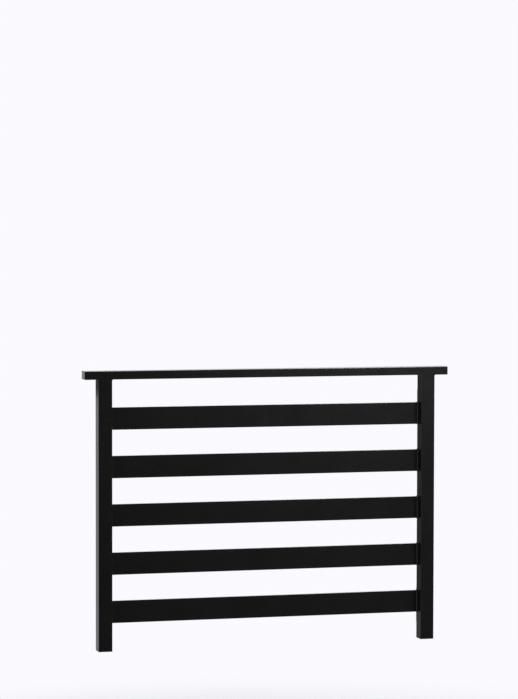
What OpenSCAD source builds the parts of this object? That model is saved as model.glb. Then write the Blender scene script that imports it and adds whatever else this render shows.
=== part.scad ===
// Juliet balcony: a welded steel guard of two posts, a handrail and five
// wide flat rails, hung on four brackets that are anchored to the wall.
//
// Frame: the wall is the plane Y = 0 and the guard stands out from it
// towards -Y. +Z is up. The origin is the middle of the wall face of the
// lower left bracket.

/* [Guard] */
// Height from the foot of the posts to the top of the handrail
guard_h = 1000; // [850:5:1200]
// Width over the outer faces of the two posts
guard_w = 1255; // [800:5:1800]
// Depth of the posts and of the handrail, from front to back
guard_d = 50; // [40:1:70]

/* [Handrail] */
// Height of the handrail tube
handrail_h = 30; // [25:1:40]
// Length of handrail past the outer face of each post
handrail_overhang = 50; // [10:1:120]
// Wall thickness of the handrail tube
handrail_wall = 3; // [2:0.5:5]
// Thickness of the plate that closes each end of the handrail
end_plate_t = 3; // [2:0.5:5]
// Chamfer on the rim of an end plate
end_chamfer = 0.8; // [0.2:0.1:1]

/* [Posts] */
// Width of a post, seen from the front
post_w = 50; // [45:1:80]
// Wall thickness of a post
post_wall = 3; // [2:0.5:5]
// Radius of the long outer corners of posts and handrail
tube_corner_r = 1.5; // [0.5:0.5:2]

/* [Rails] */
// Height of one flat rail
rail_h = 80; // [60:1:90]
// Thickness of one flat rail
rail_t = 8; // [5:1:12]
// Number of rails
rail_count = 5; // [3:1:6]
// Clear gap between the handrail and the top rail
top_gap = 102; // [60:1:110]
// Height of the bottom rail over the foot of the posts
bottom_gap = 96; // [30:1:110]
// Radius of the long edges of the rails
rail_edge_r = 1; // [0.5:0.5:2]

/* [Foot caps] */
// Thickness of the part of a foot cap that shows under the post
cap_t = 3; // [2:0.5:6]
// Chamfer on the lower rim of a foot cap
cap_chamfer = 1; // [0.2:0.1:1.2]
// Depth that the cap's skirt reaches into the post
cap_skirt_h = 16; // [8:1:30]
// Wall thickness of the skirt
cap_skirt_wall = 2; // [1.5:0.5:4]
// Gap between the skirt and the inside of the post, on each side
cap_clearance = 0.2; // [0.1:0.1:0.5]

/* [Wall brackets] */
// Width of a bracket
bracket_w = 40; // [34:1:40]
// Height of a bracket
bracket_h = 130; // [125:1:160]
// Thickness of a bracket
bracket_t = 10; // [8:1:14]
// Radius of the corners of a bracket
bracket_corner_r = 4; // [2:1:8]
// Chamfer on the front rim of a bracket
bracket_chamfer = 1; // [0.5:0.1:1.5]
// Distance from each end of a post to the middle of its bracket
bracket_inset = 120; // [90:5:180]
// Diameter of the anchor holes
anchor_hole_d = 11; // [9:0.5:13]
// Distance between the two anchor holes of a bracket
anchor_spacing = 90; // [70:1:100]
// Diameter of the countersink around each anchor hole
countersink_d = 20; // [16:1:22]

/* [Hanging bolts] */
// Diameter of the bolt's thread in the bracket
thread_d = 10; // [8:1:12]
// Depth of the thread's blind hole in the bracket
thread_h = 7; // [5:0.5:7]
// Diameter of the bolt's plain shoulder
shoulder_d = 14; // [13:1:16]
// Diameter of the bolt's head
head_d = 26; // [22:1:28]
// Thickness of the bolt's head
head_t = 5; // [4:0.5:8]
// Chamfer on the rim of the bolt's head
head_chamfer = 0.8; // [0.3:0.1:1]
// Width across the flats of the hexagon socket in the head
socket_af = 8; // [5:1:10]
// Depth of the hexagon socket
socket_h = 3; // [2:0.5:3.5]
// Play between the bolt's head and the back wall of the post
head_play = 0.5; // [0.2:0.1:1]
// Outer diameter of the spacer ring on the shoulder
spacer_d = 26; // [22:1:30]
// Length of the spacer ring, which keeps the post off the bracket
spacer_h = 6; // [4:1:14]
// Gap round the shoulder in the ring and in the post's slot
shoulder_clearance = 0.3; // [0.1:0.1:0.6]
// Gap round the bolt's head as it passes the slot's entry
entry_clearance = 0.5; // [0.3:0.1:1]
// Distance that the post drops onto the bolt when it is hung
hook_drop = 28; // [26:1:40]

/* [Hidden] */
$fn = 48;
// Overlap of a cutting shape past the face that it cuts
eps = 1;

wall_gap = bracket_t + spacer_h;
post_back_y = -wall_gap;

foot_z = -bracket_inset;
handrail_z = foot_z + guard_h - handrail_h;
lower_z = 0;
upper_z = handrail_z - bracket_inset;

left_x = 0;
right_x = guard_w - post_w;
centre_x = (left_x + right_x) / 2;

handrail_w = guard_w + 2 * handrail_overhang;
rail_len = guard_w - 2 * post_w;
rail_y = post_back_y - rail_t / 2;
rail_1_z = handrail_z - top_gap - rail_h / 2;
rail_last_z = foot_z + bottom_gap + rail_h / 2;
rail_pitch = (rail_1_z - rail_last_z) / (rail_count - 1);

RAILS = [1 : rail_count];
// Where the guard hangs: the name of the place, then its x and z
PLACES = [
    ["lower_left", left_x, lower_z],
    ["lower_right", right_x, lower_z],
    ["upper_left", left_x, upper_z],
    ["upper_right", right_x, upper_z]
];

PAINT = "#1c1c1d";
PLASTIC = "#18181a";
ZINC = "#a9adb0";

// A rectangle with true round corners, centred on the origin
module rounded_rect(w, h, r) {
    square([w, h - 2 * r], center = true);
    square([w - 2 * r, h], center = true);
    for (x = [-1, 1], y = [-1, 1])
        translate([x * (w / 2 - r), y * (h / 2 - r)])
            circle(r = r);
}

// A bar's section, c narrower on each side at the top than at the bottom
module chamfer_section(w, c) {
    polygon([[-w / 2, 0], [w / 2, 0], [w / 2 - c, c], [c - w / 2, c]]);
}

// A plate with round corners that stands on Z = 0 and has a chamfered
// upper rim. The chamfer stays inside the corners' radius.
module chamfered_plate(w, h, t, r, chamfer) {
    c = min(chamfer, r * 2 / 3);
    linear_extrude(t - c)
        rounded_rect(w, h, r);
    translate([0, 0, t - c]) {
        for (x = [-1, 1], y = [-1, 1])
            translate([x * (w / 2 - r), y * (h / 2 - r), 0])
                cylinder(r1 = r, r2 = r - c, h = c);
        translate([0, h / 2 - r, 0])
            rotate([90, 0, 0])
                linear_extrude(h - 2 * r)
                    chamfer_section(w, c);
        translate([r - w / 2, 0, 0])
            along_x()
                linear_extrude(w - 2 * r)
                    chamfer_section(h, c);
    }
}

// The section of a box tube, centred on the origin
module tube_section(w, h, wall, r) {
    difference() {
        rounded_rect(w, h, r);
        square([w - 2 * wall, h - 2 * wall], center = true);
    }
}

// Turns what is drawn in X and Y to stand in X and Z, with its
// thickness running from Y = 0 towards -Y
module upright() {
    rotate([90, 0, 0])
        children();
}

// Turns a section drawn in Y and Z to run along X from x = 0
module along_x() {
    rotate([90, 0, 90])
        children();
}

module handrail() {
    len = handrail_w - 2 * end_plate_t;
    color(PAINT)
        translate([centre_x - len / 2, post_back_y - guard_d / 2, handrail_z + handrail_h / 2])
            along_x()
                linear_extrude(len)
                    tube_section(guard_d, handrail_h, handrail_wall, tube_corner_r);
}

// Plate that closes one end of the handrail: side is -1 for left, 1 for right
module handrail_end(side) {
    inner_x = centre_x + side * (handrail_w / 2 - end_plate_t);
    color(PAINT)
        translate([inner_x, post_back_y - guard_d / 2, handrail_z + handrail_h / 2])
            rotate([0, 0, side > 0 ? 0 : 180])
                along_x()
                    chamfered_plate(guard_d, handrail_h, end_plate_t, tube_corner_r, end_chamfer);
}

// Keyhole in the post's back wall: the bolt's head goes in at the bottom,
// and the top of the slot hangs on the bolt's shoulder
module keyhole() {
    slot_r = shoulder_d / 2 + shoulder_clearance;
    depth = post_wall + 2 * eps;
    upright() {
        translate([0, -hook_drop, -eps])
            cylinder(d = head_d + 2 * entry_clearance, h = depth);
        translate([0, 0, -eps])
            cylinder(r = slot_r, h = depth);
        translate([-slot_r, -hook_drop, -eps])
            cube([2 * slot_r, hook_drop, depth]);
    }
}

module post(x) {
    color(PAINT)
        difference() {
            translate([x, post_back_y - guard_d / 2, foot_z + cap_t])
                linear_extrude(guard_h - handrail_h - cap_t)
                    tube_section(post_w, guard_d, post_wall, tube_corner_r);
            for (z = [lower_z, upper_z])
                translate([x, post_back_y, z])
                    keyhole();
        }
}

module foot_cap(x) {
    skirt_w = post_w - 2 * (post_wall + cap_clearance);
    skirt_d = guard_d - 2 * (post_wall + cap_clearance);
    color(PLASTIC)
        translate([x, post_back_y - guard_d / 2, foot_z]) {
            translate([0, 0, cap_t])
                rotate([180, 0, 0])
                    chamfered_plate(post_w, guard_d, cap_t, tube_corner_r, cap_chamfer);
            linear_extrude(cap_t + cap_skirt_h)
                difference() {
                    square([skirt_w, skirt_d], center = true);
                    square([skirt_w - 2 * cap_skirt_wall, skirt_d - 2 * cap_skirt_wall], center = true);
                }
        }
}

// Flat rail number i, counted from the top
module rail(i) {
    color(PAINT)
        translate([centre_x - rail_len / 2, rail_y, rail_1_z - (i - 1) * rail_pitch])
            along_x()
                linear_extrude(rail_len)
                    rounded_rect(rail_t, rail_h, rail_edge_r);
}

module wall_bracket(x, z) {
    countersink_h = (countersink_d - anchor_hole_d) / 2;
    color(ZINC)
        translate([x, 0, z])
            upright()
                difference() {
                    chamfered_plate(bracket_w, bracket_h, bracket_t, bracket_corner_r, bracket_chamfer);
                    translate([0, 0, bracket_t - thread_h])
                        cylinder(d = thread_d, h = thread_h + eps);
                    for (side = [-1, 1])
                        translate([0, side * anchor_spacing / 2, 0]) {
                            translate([0, 0, -eps])
                                cylinder(d = anchor_hole_d, h = bracket_t + 2 * eps);
                            translate([0, 0, bracket_t - countersink_h])
                                cylinder(d1 = anchor_hole_d, d2 = countersink_d, h = countersink_h);
                        }
                }
}

module spacer_ring(x, z) {
    color(ZINC)
        translate([x, -bracket_t, z])
            upright()
                difference() {
                    cylinder(d = spacer_d, h = spacer_h);
                    translate([0, 0, -eps])
                        cylinder(d = shoulder_d + 2 * shoulder_clearance, h = spacer_h + 2 * eps);
                }
}

module hanging_bolt(x, z) {
    shoulder_h = spacer_h + post_wall + head_play;
    color(ZINC)
        translate([x, -bracket_t, z])
            upright() {
                translate([0, 0, -thread_h])
                    cylinder(d = thread_d, h = thread_h);
                cylinder(d = shoulder_d, h = shoulder_h);
                translate([0, 0, shoulder_h])
                    difference() {
                        union() {
                            cylinder(d = head_d, h = head_t - head_chamfer);
                            translate([0, 0, head_t - head_chamfer])
                                cylinder(d1 = head_d, d2 = head_d - 2 * head_chamfer, h = head_chamfer);
                        }
                        translate([0, 0, head_t - socket_h])
                            cylinder(d = socket_af / cos(30), h = socket_h + eps, $fn = 6);
                    }
            }
}

handrail();
handrail_end(-1);  // handrail_end_left
handrail_end(1);  // handrail_end_right
post(left_x);  // post_left
post(right_x);  // post_right
foot_cap(left_x);  // foot_cap_left
foot_cap(right_x);  // foot_cap_right
for (i = RAILS)
    rail(i);
for (p = PLACES)
    wall_bracket(p[1], p[2]);
for (p = PLACES)
    spacer_ring(p[1], p[2]);
for (p = PLACES)
    hanging_bolt(p[1], p[2]);
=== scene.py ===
"""Looks of the juliet balcony: paint, cap and zinc finishes, weld beads, light, floor and camera.

Laid out as an add-on: sizes and colours in property groups, one operator for each group of pieces,
one panel in the sidebar of the 3D view. Everything is in metres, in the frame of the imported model.
"""

import math

import bmesh
import bpy
from bpy.props import FloatProperty, FloatVectorProperty, IntProperty, PointerProperty
from mathutils import Matrix, Vector


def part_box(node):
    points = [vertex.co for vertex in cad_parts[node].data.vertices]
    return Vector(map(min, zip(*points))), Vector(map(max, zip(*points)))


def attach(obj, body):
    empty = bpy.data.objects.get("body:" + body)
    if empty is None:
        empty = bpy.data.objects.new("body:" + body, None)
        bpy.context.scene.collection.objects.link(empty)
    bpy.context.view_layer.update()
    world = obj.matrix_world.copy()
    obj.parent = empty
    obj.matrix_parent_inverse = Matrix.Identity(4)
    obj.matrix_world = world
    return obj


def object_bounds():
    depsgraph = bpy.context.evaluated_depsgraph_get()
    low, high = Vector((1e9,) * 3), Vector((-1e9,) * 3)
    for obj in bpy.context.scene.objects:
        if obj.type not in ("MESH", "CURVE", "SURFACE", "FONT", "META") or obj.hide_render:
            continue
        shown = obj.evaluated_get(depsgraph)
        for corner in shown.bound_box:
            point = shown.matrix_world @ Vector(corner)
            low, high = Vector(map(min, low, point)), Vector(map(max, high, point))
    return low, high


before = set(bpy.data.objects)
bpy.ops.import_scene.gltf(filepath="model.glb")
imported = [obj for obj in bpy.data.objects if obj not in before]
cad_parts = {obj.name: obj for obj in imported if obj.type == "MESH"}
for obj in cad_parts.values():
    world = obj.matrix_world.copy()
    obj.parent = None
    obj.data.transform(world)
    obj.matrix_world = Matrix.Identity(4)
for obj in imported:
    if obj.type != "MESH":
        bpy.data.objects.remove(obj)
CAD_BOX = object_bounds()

bl_info = {
    "name": "Juliet balcony",
    "version": (1, 0, 0),
    "blender": (4, 5, 0),
    "location": "3D View > Sidebar > Balcony",
    "description": "Finishes, welds and studio of a hung juliet balcony",
    "category": "Object",
}

MM = 0.001
BODY = "root"

POSTS = ("post_left", "post_right")
RAILS = tuple(sorted(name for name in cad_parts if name.startswith("rail_")))
PAINTED = ("handrail", "handrail_end_left", "handrail_end_right") + POSTS + RAILS
CAPS = ("foot_cap_left", "foot_cap_right")
FIXINGS = tuple(
    sorted(
        name
        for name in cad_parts
        if name.startswith(("wall_bracket_", "spacer_ring_", "hanging_bolt_"))
    )
)

# Section of a bead in leg lengths: the first axis lies along one plate, the second along the other.
# The first two points and the last are sunk in the plates.
FILLET_SECTION = (
    (-0.15, -0.15),
    (1.0, -0.15),
    (0.95, 0.10),
    (0.70, 0.42),
    (0.42, 0.70),
    (0.10, 0.95),
    (-0.15, 1.0),
)
# Section of a seam that was ground flush, in seam widths: its top is nearly flat.
FLUSH_SECTION = (
    (-0.5, -0.35),
    (0.5, -0.35),
    (0.5, -0.02),
    (0.3, 0.0),
    (0.0, 0.01),
    (-0.3, 0.0),
    (-0.5, -0.02),
)

# Points of a bead's wire in one ripple pitch, for a rippled bead and for a flush seam.
BEAD_STEPS = 5
SEAM_STEPS = 2
# Slow drift of a bead: its noise per metre, and the noise value at which the bead has its own size.
BEAD_DRIFT_SCALE = 90.0
BEAD_DRIFT_MIDDLE = 0.6
# Place of the flush seams: shares of the seam's width past the edge that they cover, and their
# height over the rails' backs or depth in the tubes' walls.
RAIL_SEAM_SHIFT = 0.15
RAIL_SEAM_HEIGHT = 0.06 * MM
HANDRAIL_SEAM_RISE = 0.25
HANDRAIL_SEAM_DEPTH = 0.015 * MM
RAIL_EDGE_STEPS = 4
WELD_CREASE = math.radians(40)

# Width of the patches in which a finish drifts, in metres.
PAINT_PATCH = 0.11
PAINT_GLOSS_PATCH = 0.035
DUST_PATCH = 0.02
CAP_PATCH = 0.012
CAP_GLOSS_PATCH = 0.006
ZINC_PATCH = 0.02
FLOOR_PATCH = 0.4
# Darkest and lightest share of the colour.
PAINT_DRIFT = (0.88, 1.14)
CAP_DRIFT = (0.85, 1.2)
FLOOR_DRIFT = (0.99, 1.0)
# Change of the roughness to either side of its mean, and what full dust adds to it.
PAINT_GLOSS_DRIFT = 0.03
CAP_GLOSS_DRIFT = 0.05
ZINC_GLOSS_DRIFT = 0.07
DUST_ROUGHNESS = 0.8
# Zinc: shares of the bloom and of the slow drift, rolling lines along Z, softened arrises.
BLOOM_SHARE = 0.35
ZINC_DRIFT_SHARE = 0.65
ROLL_STRETCH = (1.0, 1.0, 0.02)
ROLL_HEIGHT = 0.006 * MM
ARRIS_RADIUS = 0.4 * MM

FLOOR_SEGMENTS = 96
FLOOR_ROUGHNESS = 0.9
FLOOR_GLEAM = 0.1
# Bands of the view direction, from -1 to 1 on one axis, over which the room's brightness changes.
SKY_LEFT_TO_RIGHT = (-0.15, 0.15)
SKY_FRONT_TO_BEHIND = (-0.55, 0.45)
SKY_FAR_LEFT = (-0.97, -0.78)
SKY_OVERHEAD = (0.35, 0.95)
SENSOR_WIDTH = 36.0
CAMERA_REACH = 100.0


# ---------------------------------------------------------------- sizes and colours


class PaintSizes(bpy.types.PropertyGroup):
    """Satin powder coat on the welded guard."""

    colour: FloatVectorProperty(
        name="Colour", description="Colour of the powder coat", subtype="COLOR", size=3,
        min=0, max=1, default=(0.0062, 0.0062, 0.0066),
    )
    gloss_loss: FloatProperty(
        name="Roughness", description="Mean roughness of the satin surface",
        subtype="FACTOR", min=0, max=1, default=0.20,
    )
    peel_cell: FloatProperty(
        name="Orange peel size", description="Width of one dimple of the orange peel",
        unit="LENGTH", min=0, default=2.6 * MM,
    )
    peel_height: FloatProperty(
        name="Orange peel height", description="Height of the orange peel",
        unit="LENGTH", min=0, default=0.010 * MM,
    )
    dust: FloatProperty(
        name="Dust", description="Share of dust on faces that look up",
        subtype="FACTOR", min=0, max=1, default=0.05,
    )
    dust_colour: FloatVectorProperty(
        name="Dust colour", description="Colour of the settled dust", subtype="COLOR", size=3,
        min=0, max=1, default=(0.30, 0.29, 0.27),
    )


class CapSizes(bpy.types.PropertyGroup):
    """Moulded plastic of the foot caps."""

    colour: FloatVectorProperty(
        name="Colour", description="Colour of the plastic", subtype="COLOR", size=3,
        min=0, max=1, default=(0.0120, 0.0120, 0.0130),
    )
    gloss_loss: FloatProperty(
        name="Roughness", description="Mean roughness of the moulded surface",
        subtype="FACTOR", min=0, max=1, default=0.55,
    )
    grain_cell: FloatProperty(
        name="Grain size", description="Width of one grain of the mould's surface",
        unit="LENGTH", min=0, default=0.6 * MM,
    )
    grain_height: FloatProperty(
        name="Grain height", description="Height of the grain",
        unit="LENGTH", min=0, default=0.012 * MM,
    )


class ZincSizes(bpy.types.PropertyGroup):
    """Zinc plating on brackets, rings and bolts."""

    bright: FloatVectorProperty(
        name="Bright zinc", description="Colour of the brightest zinc", subtype="COLOR", size=3,
        min=0, max=1, default=(0.66, 0.68, 0.70),
    )
    dull: FloatVectorProperty(
        name="Dull zinc", description="Colour of the dullest zinc", subtype="COLOR", size=3,
        min=0, max=1, default=(0.47, 0.49, 0.52),
    )
    gloss_loss: FloatProperty(
        name="Roughness", description="Mean roughness of the plating",
        subtype="FACTOR", min=0, max=1, default=0.34,
    )
    crystal: FloatProperty(
        name="Crystal size", description="Width of one patch of the zinc's bloom",
        unit="LENGTH", min=0, default=3.0 * MM,
    )
    roll_line: FloatProperty(
        name="Rolling line", description="Width of one rolling line of the plate",
        unit="LENGTH", min=0, default=0.5 * MM,
    )


class WeldSizes(bpy.types.PropertyGroup):
    """Weld beads under the paint."""

    leg: FloatProperty(
        name="Leg", description="Leg length of a fillet weld", unit="LENGTH",
        min=0.5 * MM, default=2.6 * MM,
    )
    ripple_pitch: FloatProperty(
        name="Ripple pitch", description="Distance from one ripple to the next",
        unit="LENGTH", min=0.3 * MM, default=1.4 * MM,
    )
    ripple: FloatProperty(
        name="Ripple height", description="Height of a ripple, as a share of the leg",
        subtype="FACTOR", min=0, max=0.5, default=0.022,
    )
    unevenness: FloatProperty(
        name="Unevenness", description="Slow change of the bead, as a share of the leg",
        subtype="FACTOR", min=0, max=0.5, default=0.12,
    )
    rail_edge: FloatProperty(
        name="Rail edge radius", description="Radius of the rails' long edges",
        unit="LENGTH", min=0, default=1.0 * MM,
    )
    tube_corner: FloatProperty(
        name="Tube corner radius", description="Radius of the long corners of the tubes",
        unit="LENGTH", min=0, default=1.5 * MM,
    )
    seam: FloatProperty(
        name="Seam width", description="Width of a seam that was ground flush",
        unit="LENGTH", min=0, default=3.2 * MM,
    )
    seed: IntProperty(name="Seed", description="Seed of the unevenness", default=7)


class StageSizes(bpy.types.PropertyGroup):
    """Studio: floor, sky, lights and camera."""

    floor_drop: FloatProperty(
        name="Floor drop", description="Height of the posts' feet over the floor",
        unit="LENGTH", default=0.50,
    )
    floor_clear: FloatProperty(
        name="Solid floor", description="Radius in which the floor is solid",
        unit="LENGTH", default=0.9,
    )
    floor_radius: FloatProperty(
        name="Floor radius", description="Radius at which the floor has faded away",
        unit="LENGTH", default=2.4,
    )
    floor_colour: FloatVectorProperty(
        name="Floor colour", description="Colour of the floor", subtype="COLOR", size=3,
        min=0, max=1, default=(0.68, 0.69, 0.71),
    )
    backdrop: FloatVectorProperty(
        name="Backdrop", description="Colour behind the balcony", subtype="COLOR", size=3,
        min=0, max=1, default=(0.960, 0.955, 0.995),
    )
    sky_behind: FloatProperty(
        name="Light behind", description="Brightness of the room behind the balcony, on the right",
        min=0, default=1.30,
    )
    sky_left: FloatProperty(
        name="Light behind left", description="Brightness of the room behind, on the left",
        min=0, default=0.10,
    )
    sky_front: FloatProperty(
        name="Light in front", description="Brightness of the room in front of the balcony",
        min=0, default=0.07,
    )
    sky_beside: FloatProperty(
        name="Light beside", description="Extra brightness of the room on the far left",
        min=0, default=0.9,
    )
    sky_above: FloatProperty(
        name="Light above", description="Extra brightness of the room overhead",
        min=0, default=0.9,
    )
    key_power: FloatProperty(
        name="Key power", description="Power of the key light", unit="POWER", min=0, default=40.0,
    )
    key_place: FloatVectorProperty(
        name="Key place", description="Place of the key light", subtype="TRANSLATION",
        unit="LENGTH", size=3, default=(1.32, -1.00, 1.57),
    )
    key_side: FloatProperty(
        name="Key side", description="Side of the square key light", unit="LENGTH",
        min=0, default=0.6,
    )
    side_colour: FloatVectorProperty(
        name="Side colour", description="Colour of the side lights", subtype="COLOR", size=3,
        min=0, max=1, default=(0.87, 0.91, 1.0),
    )
    side_reach: FloatVectorProperty(
        name="Side reach", description="Distance of a side light left of and behind what it lights",
        unit="LENGTH", size=2, default=(0.33, 1.00),
    )
    side_width: FloatProperty(
        name="Side width", description="Width of the side lights", unit="LENGTH",
        min=0, default=0.9,
    )
    post_power: FloatProperty(
        name="Post power", description="Power of the side light on the left post", unit="POWER",
        min=0, default=2.15,
    )
    post_top: FloatProperty(
        name="Post light top", description="Height that the post's side light reaches up to",
        unit="LENGTH", default=0.72,
    )
    end_power: FloatProperty(
        name="End power", description="Power of the side light on the handrail's left end",
        unit="POWER", min=0, default=2.9,
    )
    end_top: FloatProperty(
        name="End light top", description="Height that the end's side light reaches up to",
        unit="LENGTH", default=1.10,
    )
    foot_power: FloatProperty(
        name="Foot power", description="Power of the side light on the right post's foot",
        unit="POWER", min=0, default=0.5,
    )
    foot_top: FloatProperty(
        name="Foot light top", description="Height that the right post's side light reaches up to",
        unit="LENGTH", default=-0.12,
    )
    side_height: FloatProperty(
        name="Side height", description="Height of the side lights", unit="LENGTH",
        min=0, default=1.6,
    )
    camera_place: FloatVectorProperty(
        name="Camera place", description="Place of the camera", subtype="TRANSLATION",
        unit="LENGTH", size=3, precision=5, default=(-2.24125, -10.14583, 1.48912),
    )
    camera_yaw: FloatProperty(
        name="Camera yaw", description="Turn of the camera towards the right post",
        unit="ROTATION", precision=5, default=math.radians(15.5515),
    )
    camera_pitch: FloatProperty(
        name="Camera pitch", description="Tilt of the camera, negative looks down",
        unit="ROTATION", precision=5, default=math.radians(-2.9479),
    )
    camera_roll: FloatProperty(
        name="Camera roll", description="Roll of the camera", unit="ROTATION",
        precision=5, default=math.radians(0.1065),
    )
    camera_lens: FloatProperty(
        name="Focal length", description="Focal length in millimetres for a 36 mm sensor",
        min=1, default=150.37,
    )


# ---------------------------------------------------------------- node helpers


def put(tree, kind, inputs=None, **settings):
    """Adds a node, sets its settings, and fills or links its inputs by name or number."""
    made = tree.nodes.new(kind)
    for name, value in settings.items():
        setattr(made, name, value)
    for key, value in (inputs or {}).items():
        socket = made.inputs[key]
        if isinstance(value, bpy.types.NodeSocket):
            tree.links.new(value, socket)
        else:
            socket.default_value = value
    return made


def math_node(tree, operation, *values, clamp=False):
    """Output of a Math node on these values."""
    made = put(tree, "ShaderNodeMath", dict(enumerate(values)), operation=operation)
    made.use_clamp = clamp
    return made.outputs[0]


def spread(tree, value, low, high, to_low, to_high, smooth=False):
    """Output of a Map Range node from low..high to to_low..to_high, clamped."""
    made = put(
        tree, "ShaderNodeMapRange",
        {"Value": value, "From Min": low, "From Max": high, "To Min": to_low, "To Max": to_high},
        interpolation_type="SMOOTHSTEP" if smooth else "LINEAR",
    )
    return made.outputs["Result"]


def noise(tree, place, cell, detail=2.0, rough=0.5):
    """Noise whose patches are about cell wide."""
    scale = math_node(tree, "DIVIDE", 1.0, cell)
    made = put(
        tree, "ShaderNodeTexNoise",
        {"Vector": place, "Scale": scale, "Detail": detail, "Roughness": rough},
    )
    return made.outputs["Fac"]


def blend_colours(tree, share, first, second):
    """Output of a Mix node from the first to the second colour."""
    made = put(tree, "ShaderNodeMix", data_type="RGBA")
    for socket, value in zip((made.inputs[0], made.inputs[6], made.inputs[7]), (share, first, second)):
        if isinstance(value, bpy.types.NodeSocket):
            tree.links.new(value, socket)
        else:
            socket.default_value = value
    return made.outputs[2]


def shader_group(name, inputs, outputs):
    """An empty shader group with number inputs and outputs; gives the tree, its inputs and its end."""
    tree = bpy.data.node_groups.new(name, "ShaderNodeTree")
    for label, start in inputs.items():
        socket = tree.interface.new_socket(label, in_out="INPUT", socket_type="NodeSocketFloat")
        socket.default_value = start
    for label in outputs:
        tree.interface.new_socket(label, in_out="OUTPUT", socket_type="NodeSocketFloat")
    start = put(tree, "NodeGroupInput")
    end = put(tree, "NodeGroupOutput")
    return tree, start.outputs, end


def own_place(tree):
    """The piece's own coordinates."""
    return put(tree, "ShaderNodeTexCoord").outputs["Object"]


def orange_peel():
    """Shared effect: the dimpled film of a sprayed or baked coat. Height is in metres."""
    tree = bpy.data.node_groups.get("orange_peel")
    if tree:
        return tree
    tree, given, end = shader_group(
        "orange_peel", {"Cell Size": 2.6 * MM, "Height": 0.016 * MM}, ("Height",)
    )
    place = own_place(tree)
    broad = noise(tree, place, given["Cell Size"], detail=1.0)
    fine_cell = math_node(tree, "MULTIPLY", given["Cell Size"], 0.3)
    fine = noise(tree, place, fine_cell, detail=2.0)
    both = math_node(tree, "MULTIPLY_ADD", fine, 0.22, broad)
    tree.links.new(math_node(tree, "MULTIPLY", both, given["Height"]), end.inputs["Height"])
    return tree


def soft_mottle():
    """Shared effect: a value that drifts slowly between Low and High over the surface."""
    tree = bpy.data.node_groups.get("soft_mottle")
    if tree:
        return tree
    tree, given, end = shader_group(
        "soft_mottle", {"Patch Size": 0.08, "Low": 0.0, "High": 1.0}, ("Value",)
    )
    drift = noise(tree, own_place(tree), given["Patch Size"], detail=4.0, rough=0.55)
    value = spread(tree, drift, 0.3, 0.7, given["Low"], given["High"])
    tree.links.new(value, end.inputs["Value"])
    return tree


def settled_dust():
    """Shared effect: a mask of thin dust on faces that look up."""
    tree = bpy.data.node_groups.get("settled_dust")
    if tree:
        return tree
    tree, given, end = shader_group(
        "settled_dust", {"Amount": 0.1, "Patch Size": 0.03}, ("Mask",)
    )
    normal = put(tree, "ShaderNodeNewGeometry").outputs["Normal"]
    up = put(tree, "ShaderNodeSeparateXYZ", {0: normal}).outputs["Z"]
    facing = spread(tree, up, 0.55, 0.95, 0.0, 1.0, smooth=True)
    patches = noise(tree, own_place(tree), given["Patch Size"], detail=6.0, rough=0.65)
    specks = spread(tree, patches, 0.35, 0.7, 0.35, 1.0)
    mask = math_node(tree, "MULTIPLY", facing, specks)
    mask = math_node(tree, "MULTIPLY", mask, given["Amount"], clamp=True)
    tree.links.new(mask, end.inputs["Mask"])
    return tree


def place_group(tree, group, output, **inputs):
    """Places a shared effect in a material; underscores in input names stand for spaces."""
    made = put(tree, "ShaderNodeGroup", node_tree=group)
    for name, value in inputs.items():
        made.inputs[name.replace("_", " ")].default_value = value
    return made.outputs[output]


def new_material(name):
    """A material with a bare Principled shader; gives the material, its tree and the shader."""
    old = bpy.data.materials.get(name)
    if old:
        bpy.data.materials.remove(old)
    material = bpy.data.materials.new(name)
    material.use_nodes = True
    tree = material.node_tree
    tree.nodes.clear()
    shader = put(tree, "ShaderNodeBsdfPrincipled")
    put(tree, "ShaderNodeOutputMaterial", {"Surface": shader.outputs["BSDF"]})
    return material, tree, shader


def shade(colour, factor):
    """The colour made lighter or darker, with full alpha."""
    return tuple(min(1.0, channel * factor) for channel in colour) + (1.0,)


def shades(colour, factors):
    """The colour at each of these factors."""
    return [shade(colour, factor) for factor in factors]


def relief(tree, shader, height):
    """Feeds a height in metres to the shader's normal."""
    bump = put(tree, "ShaderNodeBump", {"Strength": 1.0, "Distance": 1.0, "Height": height})
    tree.links.new(bump.outputs["Normal"], shader.inputs["Normal"])
    return bump


# ---------------------------------------------------------------- finishes


def satin_powder_coat(sizes):
    """Black satin powder coat: slight drift in colour and gloss, orange peel, a breath of dust."""
    material, tree, shader = new_material("satin_powder_coat")
    drift = place_group(tree, soft_mottle(), "Value", Patch_Size=PAINT_PATCH, Low=0.0, High=1.0)
    film = blend_colours(tree, drift, *shades(sizes.colour, PAINT_DRIFT))
    dust = place_group(tree, settled_dust(), "Mask", Amount=sizes.dust, Patch_Size=DUST_PATCH)
    colour = blend_colours(tree, dust, film, shade(sizes.dust_colour, 1.0))
    tree.links.new(colour, shader.inputs["Base Color"])
    gloss = place_group(
        tree, soft_mottle(), "Value",
        Patch_Size=PAINT_GLOSS_PATCH,
        Low=sizes.gloss_loss - PAINT_GLOSS_DRIFT, High=sizes.gloss_loss + PAINT_GLOSS_DRIFT,
    )
    rough = math_node(tree, "MULTIPLY_ADD", dust, DUST_ROUGHNESS, gloss, clamp=True)
    tree.links.new(rough, shader.inputs["Roughness"])
    peel = place_group(
        tree, orange_peel(), "Height", Cell_Size=sizes.peel_cell, Height=sizes.peel_height
    )
    relief(tree, shader, peel)
    return material


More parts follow.
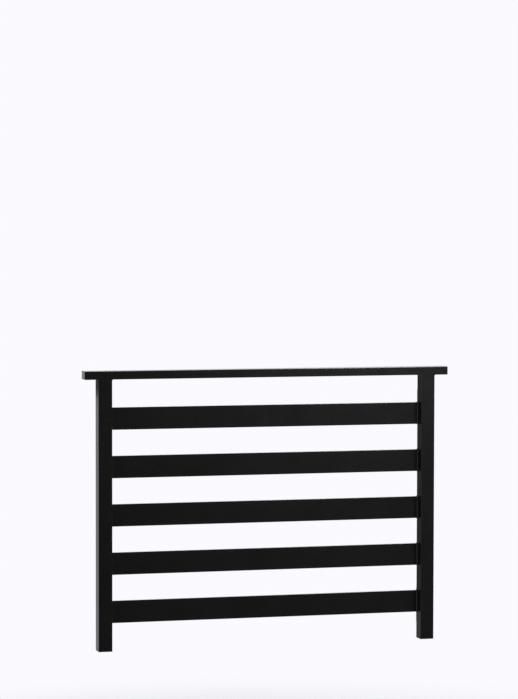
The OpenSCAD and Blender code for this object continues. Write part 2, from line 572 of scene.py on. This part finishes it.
def moulded_plastic(sizes):
    """Black moulded plastic with the fine grain of the mould."""
    material, tree, shader = new_material("moulded_plastic")
    drift = place_group(tree, soft_mottle(), "Value", Patch_Size=CAP_PATCH, Low=0.0, High=1.0)
    colour = blend_colours(tree, drift, *shades(sizes.colour, CAP_DRIFT))
    tree.links.new(colour, shader.inputs["Base Color"])
    gloss = place_group(
        tree, soft_mottle(), "Value",
        Patch_Size=CAP_GLOSS_PATCH,
        Low=sizes.gloss_loss - CAP_GLOSS_DRIFT, High=sizes.gloss_loss + CAP_GLOSS_DRIFT,
    )
    tree.links.new(gloss, shader.inputs["Roughness"])
    grain = place_group(
        tree, orange_peel(), "Height", Cell_Size=sizes.grain_cell, Height=sizes.grain_height
    )
    relief(tree, shader, grain)
    return material


def zinc_plating(sizes):
    """Bright zinc on rolled plate and turned steel: faint bloom, rolling lines, softened arrises."""
    material, tree, shader = new_material("zinc_plating")
    shader.inputs["Metallic"].default_value = 1.0
    place = own_place(tree)
    bloom = put(
        tree, "ShaderNodeTexVoronoi",
        {"Vector": place, "Scale": 1.0 / sizes.crystal, "Randomness": 1.0},
        feature="SMOOTH_F1",
    ).outputs["Color"]
    bloom = put(tree, "ShaderNodeSeparateXYZ", {0: bloom}).outputs["X"]
    drift = place_group(tree, soft_mottle(), "Value", Patch_Size=ZINC_PATCH, Low=0.0, High=1.0)
    drift = math_node(tree, "MULTIPLY", drift, ZINC_DRIFT_SHARE)
    patch = math_node(tree, "MULTIPLY_ADD", bloom, BLOOM_SHARE, drift)
    colour = blend_colours(tree, patch, shade(sizes.dull, 1.0), shade(sizes.bright, 1.0))
    tree.links.new(colour, shader.inputs["Base Color"])
    rough = spread(
        tree, patch, 0.0, 1.0,
        sizes.gloss_loss + ZINC_GLOSS_DRIFT, sizes.gloss_loss - ZINC_GLOSS_DRIFT,
    )
    tree.links.new(rough, shader.inputs["Roughness"])
    stretch = put(tree, "ShaderNodeMapping", {"Vector": place, "Scale": ROLL_STRETCH})
    lines = put(
        tree, "ShaderNodeTexNoise",
        {"Vector": stretch.outputs[0], "Scale": 1.0 / sizes.roll_line, "Detail": 3.0},
    ).outputs["Fac"]
    bump = relief(tree, shader, math_node(tree, "MULTIPLY", lines, ROLL_HEIGHT))
    soft = put(tree, "ShaderNodeBevel", {"Radius": ARRIS_RADIUS}, samples=4)
    tree.links.new(soft.outputs["Normal"], bump.inputs["Normal"])
    return material


def dress(nodes, material):
    """Gives CAD nodes this material."""
    for name in nodes:
        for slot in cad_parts[name].material_slots:
            slot.material = material


# ---------------------------------------------------------------- welds


def bead_tree(name, section):
    """Geometry Nodes tree that runs a bead of this section along wires.

    The wire's points carry the vector "lean", the direction of the section's first axis.
    """
    tree = bpy.data.node_groups.get(name)
    if tree:
        return tree
    tree = bpy.data.node_groups.new(name, "GeometryNodeTree")
    face = tree.interface
    face.new_socket("Wires", in_out="INPUT", socket_type="NodeSocketGeometry")
    for label in ("Size", "Ripple Pitch", "Ripple", "Unevenness"):
        face.new_socket(label, in_out="INPUT", socket_type="NodeSocketFloat")
    face.new_socket("Steps", in_out="INPUT", socket_type="NodeSocketInt")
    face.new_socket("Seed", in_out="INPUT", socket_type="NodeSocketInt")
    face.new_socket("Material", in_out="INPUT", socket_type="NodeSocketMaterial")
    face.new_socket("Beads", in_out="OUTPUT", socket_type="NodeSocketGeometry")
    given = put(tree, "NodeGroupInput").outputs

    step = math_node(tree, "DIVIDE", given["Ripple Pitch"], given["Steps"])
    path = put(tree, "GeometryNodeMeshToCurve", {"Mesh": given["Wires"]}).outputs["Curve"]
    path = put(
        tree, "GeometryNodeResampleCurve", {"Curve": path, "Length": step}, mode="LENGTH"
    ).outputs["Curve"]
    lean = put(
        tree, "GeometryNodeInputNamedAttribute", {"Name": "lean"}, data_type="FLOAT_VECTOR"
    ).outputs["Attribute"]
    path = put(
        tree, "GeometryNodeSetCurveNormal", {"Curve": path, "Normal": lean}, mode="FREE"
    ).outputs["Curve"]

    # The bead swells and pinches in once for each ripple, and drifts slowly along its run.
    run = put(tree, "GeometryNodeSplineLength").outputs["Length"]
    along = put(tree, "GeometryNodeSplineParameter").outputs["Factor"]
    count = math_node(tree, "ROUND", math_node(tree, "DIVIDE", run, given["Ripple Pitch"]))
    turn = math_node(tree, "MULTIPLY", math_node(tree, "MULTIPLY", count, along), math.tau)
    ripple = math_node(tree, "MULTIPLY", math_node(tree, "SINE", turn), given["Ripple"])
    place = put(tree, "GeometryNodeInputPosition").outputs[0]
    drift = put(
        tree, "ShaderNodeTexNoise",
        {"Vector": place, "W": given["Seed"], "Scale": BEAD_DRIFT_SCALE, "Detail": 1.0},
        noise_dimensions="4D",
    ).outputs["Fac"]
    drift = math_node(tree, "SUBTRACT", drift, BEAD_DRIFT_MIDDLE)
    drift = math_node(tree, "MULTIPLY", drift, given["Unevenness"])
    swell = math_node(tree, "ADD", math_node(tree, "ADD", ripple, drift), 1.0)
    scale = math_node(tree, "MULTIPLY", swell, given["Size"])

    ring = put(tree, "GeometryNodeCurvePrimitiveCircle", {"Resolution": len(section)}).outputs["Curve"]
    pick = put(tree, "GeometryNodeIndexSwitch", data_type="VECTOR")
    for _ in range(len(section) - len(pick.index_switch_items)):
        pick.index_switch_items.new()
    tree.links.new(put(tree, "GeometryNodeInputIndex").outputs[0], pick.inputs["Index"])
    for number, (first, second) in enumerate(section):
        pick.inputs[number + 1].default_value = (first, second, 0.0)
    ring = put(
        tree, "GeometryNodeSetPosition", {"Geometry": ring, "Position": pick.outputs[0]}
    ).outputs["Geometry"]

    bead = put(
        tree, "GeometryNodeCurveToMesh",
        {"Curve": path, "Profile Curve": ring, "Scale": scale, "Fill Caps": True},
    ).outputs["Mesh"]
    bead = put(tree, "GeometryNodeSetShadeSmooth", {"Geometry": bead}).outputs["Geometry"]
    bead = put(tree, "GeometryNodeRealizeInstances", {"Geometry": bead}).outputs["Geometry"]
    bead = put(
        tree, "GeometryNodeSetMaterial", {"Geometry": bead, "Material": given["Material"]}
    ).outputs["Geometry"]
    put(tree, "NodeGroupOutput", {"Beads": bead})
    return tree


def wires(name, paths):
    """A wire mesh of open paths. Each path is its points and the direction it leans in."""
    points, edges, leans = [], [], []
    for path, lean in paths:
        first = len(points)
        points += path
        leans += [lean] * len(path)
        edges += [(number, number + 1) for number in range(first, len(points) - 1)]
    mesh = bpy.data.meshes.new(name)
    mesh.from_pydata(points, edges, [])
    layer = mesh.attributes.new("lean", "FLOAT_VECTOR", "POINT")
    for item, lean in zip(layer.data, leans):
        item.vector = lean
    return mesh


def bead_mesh(tree, paths, values):
    """The plain mesh that the tree makes on these paths."""
    guide = bpy.data.objects.new("bead_guide", wires("bead_guide", paths))
    bpy.context.scene.collection.objects.link(guide)
    modifier = guide.modifiers.new("bead", "NODES")
    modifier.node_group = tree
    for item in tree.interface.items_tree:
        if item.item_type == "SOCKET" and item.in_out == "INPUT" and item.name in values:
            modifier[item.identifier] = values[item.name]
    seen = guide.evaluated_get(bpy.context.evaluated_depsgraph_get())
    mesh = bpy.data.meshes.new_from_object(seen)
    bpy.data.objects.remove(guide)
    return mesh


def new_piece(name, meshes, material):
    """One object of these meshes, facing outwards, riding on the balcony."""
    shell = bmesh.new()
    for mesh in meshes:
        shell.from_mesh(mesh)
    bmesh.ops.recalc_face_normals(shell, faces=shell.faces)
    whole = bpy.data.meshes.new(name)
    shell.to_mesh(whole)
    shell.free()
    whole.materials.clear()
    whole.materials.append(material)
    whole.set_sharp_from_angle(angle=WELD_CREASE)
    old = bpy.data.objects.get(name)
    if old:
        bpy.data.objects.remove(old)
    piece = bpy.data.objects.new(name, whole)
    bpy.context.scene.collection.objects.link(piece)
    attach(piece, BODY)
    return piece


def bead_values(sizes, size, material, ground=False):
    """Inputs of a bead tree. A ground seam has no ripples."""
    return {
        "Size": size,
        "Ripple Pitch": sizes.ripple_pitch,
        "Ripple": 0.0 if ground else sizes.ripple,
        "Unevenness": 0.0 if ground else sizes.unevenness,
        "Steps": SEAM_STEPS if ground else BEAD_STEPS,
        "Seed": sizes.seed,
        "Material": material,
    }


def round_rail(x, low, high, radius):
    """Points round a rail's end, over the top edge, down the front and under the bottom edge."""
    top_y, top_z = low.y + radius, high.z - radius
    quarter = [math.pi / 2 * step / RAIL_EDGE_STEPS for step in range(RAIL_EDGE_STEPS + 1)]
    points = [(x, high.y, high.z)]
    for turn in quarter:
        points.append((x, top_y - radius * math.sin(turn), top_z + radius * math.cos(turn)))
    for turn in quarter:
        points.append(
            (x, top_y - radius * math.cos(turn), low.z + radius - radius * math.sin(turn))
        )
    points.append((x, high.y, low.z))
    return points


def rail_weld_paths(sizes):
    """Fillets round both ends of each rail, and the flush seams behind them."""
    fillets, seams = [], []
    for name in RAILS:
        low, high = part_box(name)
        for x, inward in ((low.x, 1.0), (high.x, -1.0)):
            loop = round_rail(x, low, high, sizes.rail_edge)
            fillets.append((loop if inward > 0 else loop[::-1], (inward, 0.0, 0.0)))
            middle = x - inward * RAIL_SEAM_SHIFT * sizes.seam
            back = high.y + RAIL_SEAM_HEIGHT
            seams.append(([(middle, back, low.z), (middle, back, high.z)], (1.0, 0.0, 0.0)))
    return fillets, seams


def handrail_weld_paths(sizes):
    """Fillets under the handrail beside each post, and the flush seams before and behind."""
    fillets, seams = [], []
    for name in POSTS:
        low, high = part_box(name)
        inset = sizes.tube_corner
        for x, outward in ((low.x, -1.0), (high.x, 1.0)):
            run = [(x, low.y + inset, high.z), (x, high.y - inset, high.z)]
            fillets.append((run if outward > 0 else run[::-1], (outward, 0.0, 0.0)))
        for y, front in ((low.y, True), (high.y, False)):
            depth = HANDRAIL_SEAM_DEPTH if front else -HANDRAIL_SEAM_DEPTH
            z = high.z + HANDRAIL_SEAM_RISE * sizes.seam
            run = [(low.x + inset, y + depth, z), (high.x - inset, y + depth, z)]
            seams.append((run if front else run[::-1], (0.0, 0.0, 1.0)))
    return fillets, seams


def weld(sizes, name, find_paths):
    """Makes the fillets and flush seams of one group as one piece."""
    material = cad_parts[POSTS[0]].material_slots[0].material
    fillets, seams = find_paths(sizes)
    meshes = [
        bead_mesh(
            bead_tree("fillet_weld", FILLET_SECTION), fillets,
            bead_values(sizes, sizes.leg, material),
        ),
        bead_mesh(
            bead_tree("flush_seam", FLUSH_SECTION), seams,
            bead_values(sizes, sizes.seam, material, ground=True),
        ),
    ]
    new_piece(name, meshes, material)


# ---------------------------------------------------------------- stage


def soft_floor(sizes):
    """A pale round floor that fades away at its rim."""
    material, tree, shader = new_material("studio_floor")
    drift = place_group(tree, soft_mottle(), "Value", Patch_Size=FLOOR_PATCH, Low=0.0, High=1.0)
    colour = blend_colours(tree, drift, *shades(sizes.floor_colour, FLOOR_DRIFT))
    tree.links.new(colour, shader.inputs["Base Color"])
    shader.inputs["Roughness"].default_value = FLOOR_ROUGHNESS
    shader.inputs["Specular IOR Level"].default_value = FLOOR_GLEAM
    radius = put(
        tree, "ShaderNodeVectorMath", {0: own_place(tree)}, operation="LENGTH"
    ).outputs["Value"]
    solid = spread(tree, radius, sizes.floor_clear, sizes.floor_radius, 1.0, 0.0, smooth=True)
    below = put(tree, "ShaderNodeNewGeometry").outputs["Backfacing"]
    above = math_node(tree, "SUBTRACT", 1.0, below)
    tree.links.new(math_node(tree, "MULTIPLY", solid, above), shader.inputs["Alpha"])
    low, high = CAD_BOX
    disc = bmesh.new()
    bmesh.ops.create_circle(
        disc, cap_ends=True, segments=FLOOR_SEGMENTS, radius=sizes.floor_radius
    )
    mesh = bpy.data.meshes.new("studio_floor")
    disc.to_mesh(mesh)
    disc.free()
    mesh.materials.append(material)
    floor = bpy.data.objects.new("studio_floor", mesh)
    floor.location = ((low.x + high.x) / 2, (low.y + high.y) / 2, low.z - sizes.floor_drop)
    bpy.context.scene.collection.objects.link(floor)
    floor.visible_glossy = False


def side_light(sizes, name, lit_node, power, top):
    """A soft light behind one node, on its left, that only this node receives."""
    light = bpy.data.lights.new(name, "AREA")
    light.shape = "RECTANGLE"
    light.size = sizes.side_width
    light.size_y = sizes.side_height
    light.energy = power
    light.color = sizes.side_colour
    low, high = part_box(lit_node)
    left, behind = sizes.side_reach
    lamp = bpy.data.objects.new(name, light)
    lamp.location = (low.x - left, behind, top - sizes.side_height / 2)
    aim = (low + high) / 2 - lamp.location
    aim.z = 0.0
    lamp.rotation_euler = aim.to_track_quat("-Z", "Y").to_euler()
    lamp.visible_camera = False
    bpy.context.scene.collection.objects.link(lamp)
    lit = bpy.data.collections.new("lit_by_" + name)
    lit.objects.link(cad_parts[lit_node])
    lamp.light_linking.receiver_collection = lit


def studio_sky(sizes):
    """Bright behind, on the far left and overhead, dim in front; the camera sees a plain backdrop."""
    world = bpy.data.worlds.new("studio")
    bpy.context.scene.world = world
    world.use_nodes = True
    tree = world.node_tree
    tree.nodes.clear()
    way = put(tree, "ShaderNodeTexCoord").outputs["Generated"]
    parts = put(tree, "ShaderNodeSeparateXYZ", {0: way}).outputs
    behind = spread(
        tree, parts["X"], *SKY_LEFT_TO_RIGHT, sizes.sky_left, sizes.sky_behind, smooth=True
    )
    level = spread(tree, parts["Y"], *SKY_FRONT_TO_BEHIND, sizes.sky_front, behind, smooth=True)
    beside = spread(tree, parts["X"], *SKY_FAR_LEFT, sizes.sky_beside, 0.0, smooth=True)
    overhead = spread(tree, parts["Z"], *SKY_OVERHEAD, 0.0, sizes.sky_above, smooth=True)
    level = math_node(tree, "ADD", level, beside)
    level = math_node(tree, "ADD", level, overhead)
    colour = shade(sizes.backdrop, 1.0)
    room = put(tree, "ShaderNodeBackground", {"Color": colour, "Strength": level})
    seen = put(tree, "ShaderNodeBackground", {"Color": colour, "Strength": 1.0})
    camera_ray = put(tree, "ShaderNodeLightPath").outputs["Is Camera Ray"]
    both = put(
        tree, "ShaderNodeMixShader",
        {0: camera_ray, 1: room.outputs[0], 2: seen.outputs[0]},
    )
    put(tree, "ShaderNodeOutputWorld", {"Surface": both.outputs[0]})


def key_light(sizes):
    """A large soft light in front, high on the right."""
    light = bpy.data.lights.new("key_light", "AREA")
    light.shape = "SQUARE"
    light.size = sizes.key_side
    light.energy = sizes.key_power
    lamp = bpy.data.objects.new("key_light", light)
    low, high = CAD_BOX
    aim = (low + high) / 2 - Vector(sizes.key_place)
    lamp.location = sizes.key_place
    lamp.rotation_euler = aim.to_track_quat("-Z", "Y").to_euler()
    lamp.visible_camera = False
    bpy.context.scene.collection.objects.link(lamp)


def set_camera(sizes):
    """The camera stands left of the balcony and above the handrail, and looks slightly down."""
    lens = bpy.data.cameras.new("camera")
    lens.sensor_width = SENSOR_WIDTH
    lens.lens = sizes.camera_lens
    lens.clip_end = CAMERA_REACH
    camera = bpy.data.objects.new("camera", lens)
    yaw, pitch, roll = sizes.camera_yaw, sizes.camera_pitch, sizes.camera_roll
    ahead = Vector(
        (math.sin(yaw) * math.cos(pitch), math.cos(yaw) * math.cos(pitch), math.sin(pitch))
    )
    level = Vector((math.cos(yaw), -math.sin(yaw), 0.0))
    upright = level.cross(ahead)
    right = level * math.cos(roll) + upright * math.sin(roll)
    up = upright * math.cos(roll) - level * math.sin(roll)
    turn = Matrix((right, up, -ahead)).transposed().to_4x4()
    camera.matrix_world = Matrix.Translation(sizes.camera_place) @ turn
    bpy.context.scene.collection.objects.link(camera)
    bpy.context.scene.camera = camera


# ---------------------------------------------------------------- operators


class BALCONY_OT_paint_steel(bpy.types.Operator):
    """Powder-coat the handrail, its end plates, the posts and the rails"""

    bl_idname = "balcony.paint_steel"
    bl_label = "Paint Steel"

    def execute(self, context):
        dress(PAINTED, satin_powder_coat(context.scene.balcony_paint))
        return {"FINISHED"}


class BALCONY_OT_finish_caps(bpy.types.Operator):
    """Give the foot caps their moulded plastic"""

    bl_idname = "balcony.finish_caps"
    bl_label = "Finish Foot Caps"

    def execute(self, context):
        dress(CAPS, moulded_plastic(context.scene.balcony_caps))
        return {"FINISHED"}


class BALCONY_OT_finish_fixings(bpy.types.Operator):
    """Zinc-plate the wall brackets, spacer rings and hanging bolts"""

    bl_idname = "balcony.finish_fixings"
    bl_label = "Finish Fixings"

    def execute(self, context):
        dress(FIXINGS, zinc_plating(context.scene.balcony_zinc))
        return {"FINISHED"}


class BALCONY_OT_weld_rails(bpy.types.Operator):
    """Run weld beads round the ends of the rails"""

    bl_idname = "balcony.weld_rails"
    bl_label = "Weld Rails"

    def execute(self, context):
        weld(context.scene.balcony_welds, "rail_welds", rail_weld_paths)
        return {"FINISHED"}


class BALCONY_OT_weld_handrail(bpy.types.Operator):
    """Run weld beads where the posts meet the handrail"""

    bl_idname = "balcony.weld_handrail"
    bl_label = "Weld Handrail"

    def execute(self, context):
        weld(context.scene.balcony_welds, "handrail_welds", handrail_weld_paths)
        return {"FINISHED"}


class BALCONY_OT_set_stage(bpy.types.Operator):
    """Set up the floor, the light and the camera"""

    bl_idname = "balcony.set_stage"
    bl_label = "Set Stage"

    def execute(self, context):
        sizes = context.scene.balcony_stage
        context.scene.view_settings.view_transform = "Standard"
        studio_sky(sizes)
        soft_floor(sizes)
        side_light(sizes, "post_light", "post_left", sizes.post_power, sizes.post_top)
        side_light(sizes, "end_light", "handrail_end_left", sizes.end_power, sizes.end_top)
        side_light(sizes, "foot_light", "post_right", sizes.foot_power, sizes.foot_top)
        key_light(sizes)
        set_camera(sizes)
        return {"FINISHED"}


class BALCONY_PT_panel(bpy.types.Panel):
    """Lists the balcony's operators"""

    bl_idname = "BALCONY_PT_panel"
    bl_label = "Juliet Balcony"
    bl_space_type = "VIEW_3D"
    bl_region_type = "UI"
    bl_category = "Balcony"

    def draw(self, context):
        for group, operators in STEPS:
            box = self.layout.box()
            settings = getattr(context.scene, group)
            for name in settings.__annotations__:
                box.prop(settings, name)
            for operator in operators:
                box.operator(operator.bl_idname)


STEPS = (
    ("balcony_paint", (BALCONY_OT_paint_steel,)),
    ("balcony_caps", (BALCONY_OT_finish_caps,)),
    ("balcony_zinc", (BALCONY_OT_finish_fixings,)),
    ("balcony_welds", (BALCONY_OT_weld_rails, BALCONY_OT_weld_handrail)),
    ("balcony_stage", (BALCONY_OT_set_stage,)),
)
SIZE_GROUPS = {
    "balcony_paint": PaintSizes,
    "balcony_caps": CapSizes,
    "balcony_zinc": ZincSizes,
    "balcony_welds": WeldSizes,
    "balcony_stage": StageSizes,
}
CLASSES = (
    *SIZE_GROUPS.values(),
    *(operator for _, operators in STEPS for operator in operators),
    BALCONY_PT_panel,
)


def register():
    for item in CLASSES:
        bpy.utils.register_class(item)
    for name, group in SIZE_GROUPS.items():
        setattr(bpy.types.Scene, name, PointerProperty(type=group))


def unregister():
    for name in SIZE_GROUPS:
        delattr(bpy.types.Scene, name)
    for item in reversed(CLASSES):
        bpy.utils.unregister_class(item)


def main():
    register()
    bpy.ops.balcony.set_stage()
    bpy.ops.balcony.paint_steel()
    bpy.ops.balcony.finish_caps()
    bpy.ops.balcony.finish_fixings()
    bpy.ops.balcony.weld_rails()
    bpy.ops.balcony.weld_handrail()


if __name__ == "__main__":
    main()
